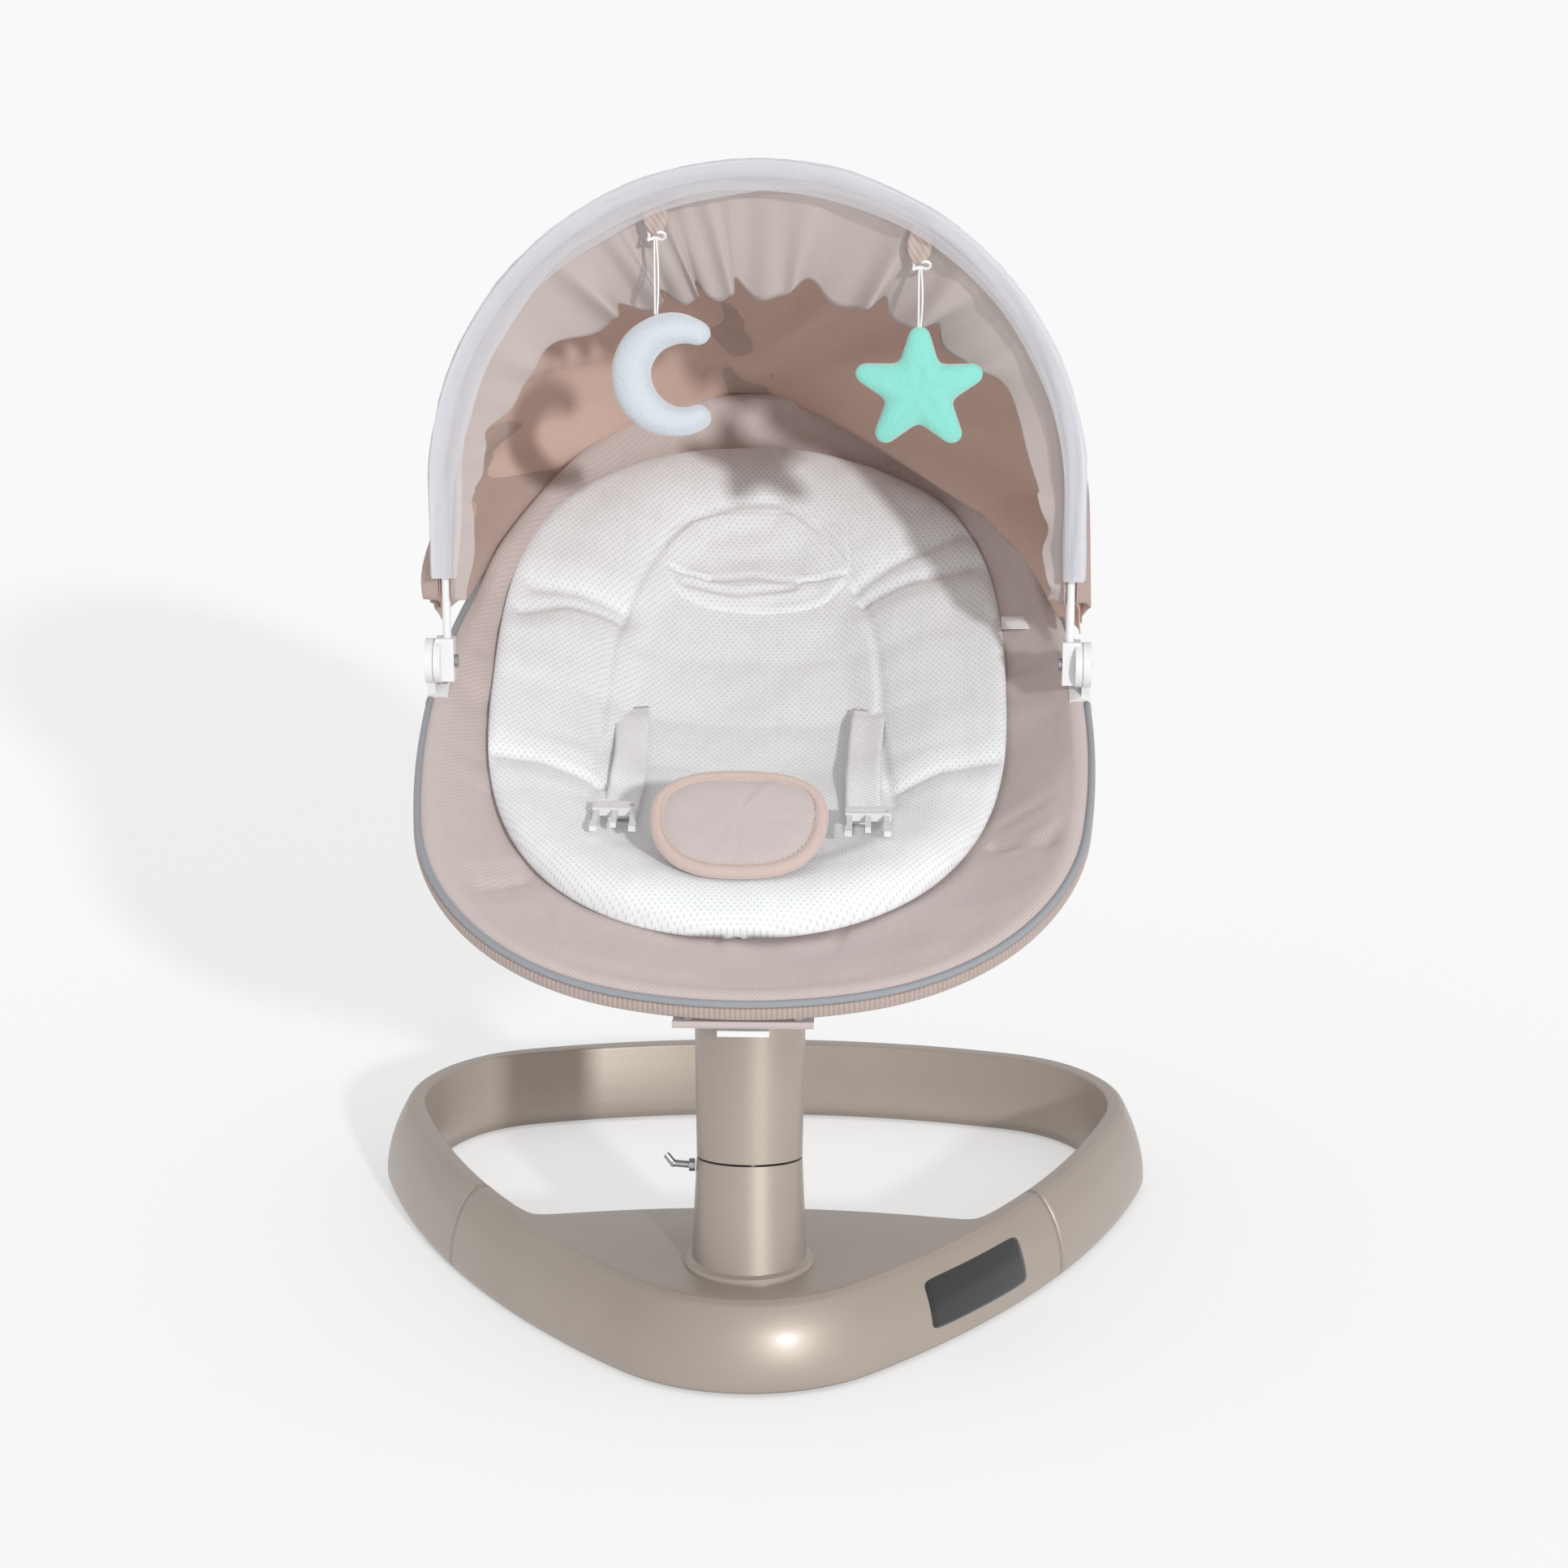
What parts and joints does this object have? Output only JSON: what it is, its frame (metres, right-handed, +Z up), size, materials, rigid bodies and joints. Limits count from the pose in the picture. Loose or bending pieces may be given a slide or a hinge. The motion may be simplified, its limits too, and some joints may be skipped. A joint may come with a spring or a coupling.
{
  "type": "electric baby swing",
  "caption": "Cantilever baby swing: cushioned seat with folding canopy and hanging toys on a leaning pivoting column over a rounded triangular ring base.",
  "frame": {"origin": "middle of the overall box at floor level", "axes": "+Z up; the foot end, the control panel and the toys face -Y; +X is to the right of a person facing the foot end"},
  "size_m": [0.5918, 0.6255, 0.801],
  "materials": {
    "champagne_shell": "satin champagne metallic",
    "white_plastic": "satin",
    "dark_plastic": "matt",
    "rubber": "matt",
    "panel_lens": "polished",
    "board": "solder mask",
    "coil": "enamelled wire",
    "magnet": "plated",
    "steel": "plain",
    "frame_tube": "satin",
    "taupe_cloth": "twill weave",
    "band_cloth": "fine twill",
    "piping_cloth": "smooth",
    "mesh_cloth": "3D spacer mesh",
    "webbing": "woven webbing",
    "net_cloth": "sheer rolled net",
    "tag_cloth": "printed side blank",
    "moon_plush": "short-pile plush",
    "star_plush": "short-pile plush",
    "cord": "elastic cord"
  },
  "bodies": {
    "base": {"base_front_shell": "champagne_shell", "base_rear_shell": "champagne_shell", "base_front_cover": "dark_plastic", "base_rear_cover": "dark_plastic", "joint_sleeves": "dark_plastic", "foot_pads": "rubber", "cover_screws": "steel", "panel_lens": "panel_lens", "control_board": "board", "speaker": "dark_plastic", "dc_inlet": "dark_plastic", "lower_column": "champagne_shell", "bearing_housing": "dark_plastic", "spindle_bearings": "steel", "bearing_spacer": "steel", "column_screws": "steel", "drive_coil": "coil"},
    "lock_lever": {"lock_lever": "white_plastic"},
    "swing": {"upper_column": "champagne_shell", "spindle": "steel", "magnet_arm": "dark_plastic", "drive_magnet": "magnet", "seat_hub": "dark_plastic"},
    "seat": {"seat_yoke": "dark_plastic", "recline_pin": "steel", "cradle_left": "frame_tube", "cradle_right": "frame_tube", "foot_struts": "frame_tube", "cover_apron": "taupe_cloth", "frame_head_tube": "frame_tube", "frame_foot_tube": "frame_tube", "seat_cover": "taupe_cloth", "cover_piping": "piping_cloth", "cover_band": "band_cloth", "liner_pad": "mesh_cloth", "head_support": "mesh_cloth", "strap_left": "webbing", "strap_right": "webbing", "buckle_left": "white_plastic", "buckle_right": "white_plastic", "care_tag": "tag_cloth", "hinge_clip_left": "white_plastic", "hinge_clip_right": "white_plastic", "hinge_screws": "steel", "hood_rear_panel": "taupe_cloth"},
    "recline_lever": {"recline_lever": "white_plastic"},
    "crotch_pad": {"crotch_pad": "mesh_cloth"},
    "canopy": {"canopy_bow": "frame_tube", "hinge_knuckle_left": "white_plastic", "hinge_knuckle_right": "white_plastic", "hood_front_panel": "taupe_cloth", "hood_valance": "taupe_cloth", "net_bundle": "net_cloth", "toy_loops": "taupe_cloth"},
    "moon": {"toy_moon": "moon_plush", "moon_cord": "cord"},
    "star": {"toy_star": "star_plush", "star_cord": "cord"}
  },
  "joints": [
    {"name": "lock_lever_turn", "type": "hinge", "parent": "base", "child": "lock_lever", "pos_m": [0, -0.20031, 0.12749], "axis": [1, 0, 0], "range_deg": [0, 60]},
    {"name": "swing_turn", "type": "hinge", "parent": "base", "child": "swing", "pos_m": [0, -0.21186, 0.062], "axis": [0, 0.1736, 0.9848], "range_deg": [-15, 15]},
    {"name": "seat_recline", "type": "hinge", "parent": "swing", "child": "seat", "pos_m": [0, -0.17522, 0.26979], "axis": [1, 0, 0], "range_deg": [0, 15]},
    {"name": "recline_release", "type": "slide", "parent": "seat", "child": "recline_lever", "axis": [0, -1, 0], "range_m": [0, 0.008], "stiffness_N_per_m": 300},
    {"name": "crotch_fold", "type": "hinge", "parent": "seat", "child": "crotch_pad", "pos_m": [-0.008, -0.20344, 0.33497], "axis": [1, 0, 0], "range_deg": [0, 70]},
    {"name": "canopy_fold", "type": "hinge", "parent": "seat", "child": "canopy", "pos_m": [0, -0.03484, 0.44552], "axis": [1, 0, 0], "range_deg": [-58, 12], "deforming": ["hood_front_panel"]},
    {"name": "moon_dangle", "type": "hinge", "parent": "canopy", "child": "moon", "pos_m": [-0.07, -0.03744, 0.7472], "axis": [1, 0, 0], "range_deg": [-70, 8]},
    {"name": "star_dangle", "type": "hinge", "parent": "canopy", "child": "star", "pos_m": [0.113, -0.03744, 0.72761], "axis": [1, 0, 0], "range_deg": [-70, 5]}
  ]
}
